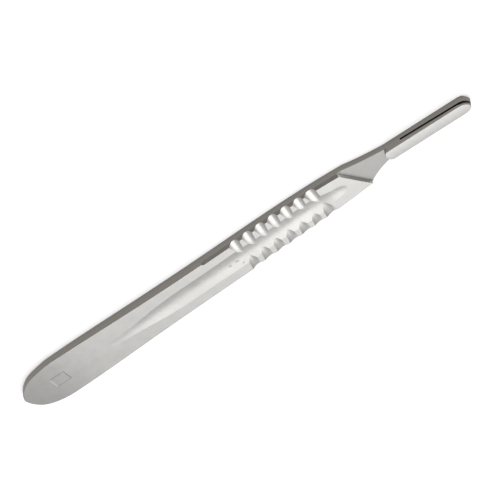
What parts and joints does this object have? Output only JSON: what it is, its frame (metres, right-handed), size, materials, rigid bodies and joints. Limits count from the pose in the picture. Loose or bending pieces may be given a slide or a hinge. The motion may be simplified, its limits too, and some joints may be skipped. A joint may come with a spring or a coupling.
{
  "type": "scalpel handle",
  "caption": "Flat steel scalpel handle with a rounded butt, a channelled face with scooped grip edges, and a slim grooved tang for a detachable blade.",
  "frame": {"origin": "on the flat back, under the middle of the length and width", "axes": "+X along the handle towards the tang that takes the blade, +Y across it, +Z out of the channelled face"},
  "size_m": [0.1352, 0.0118, 0.0031],
  "materials": {
    "steel": "satin"
  },
  "bodies": {
    "root": {"handle": "steel"}
  },
  "joints": []
}
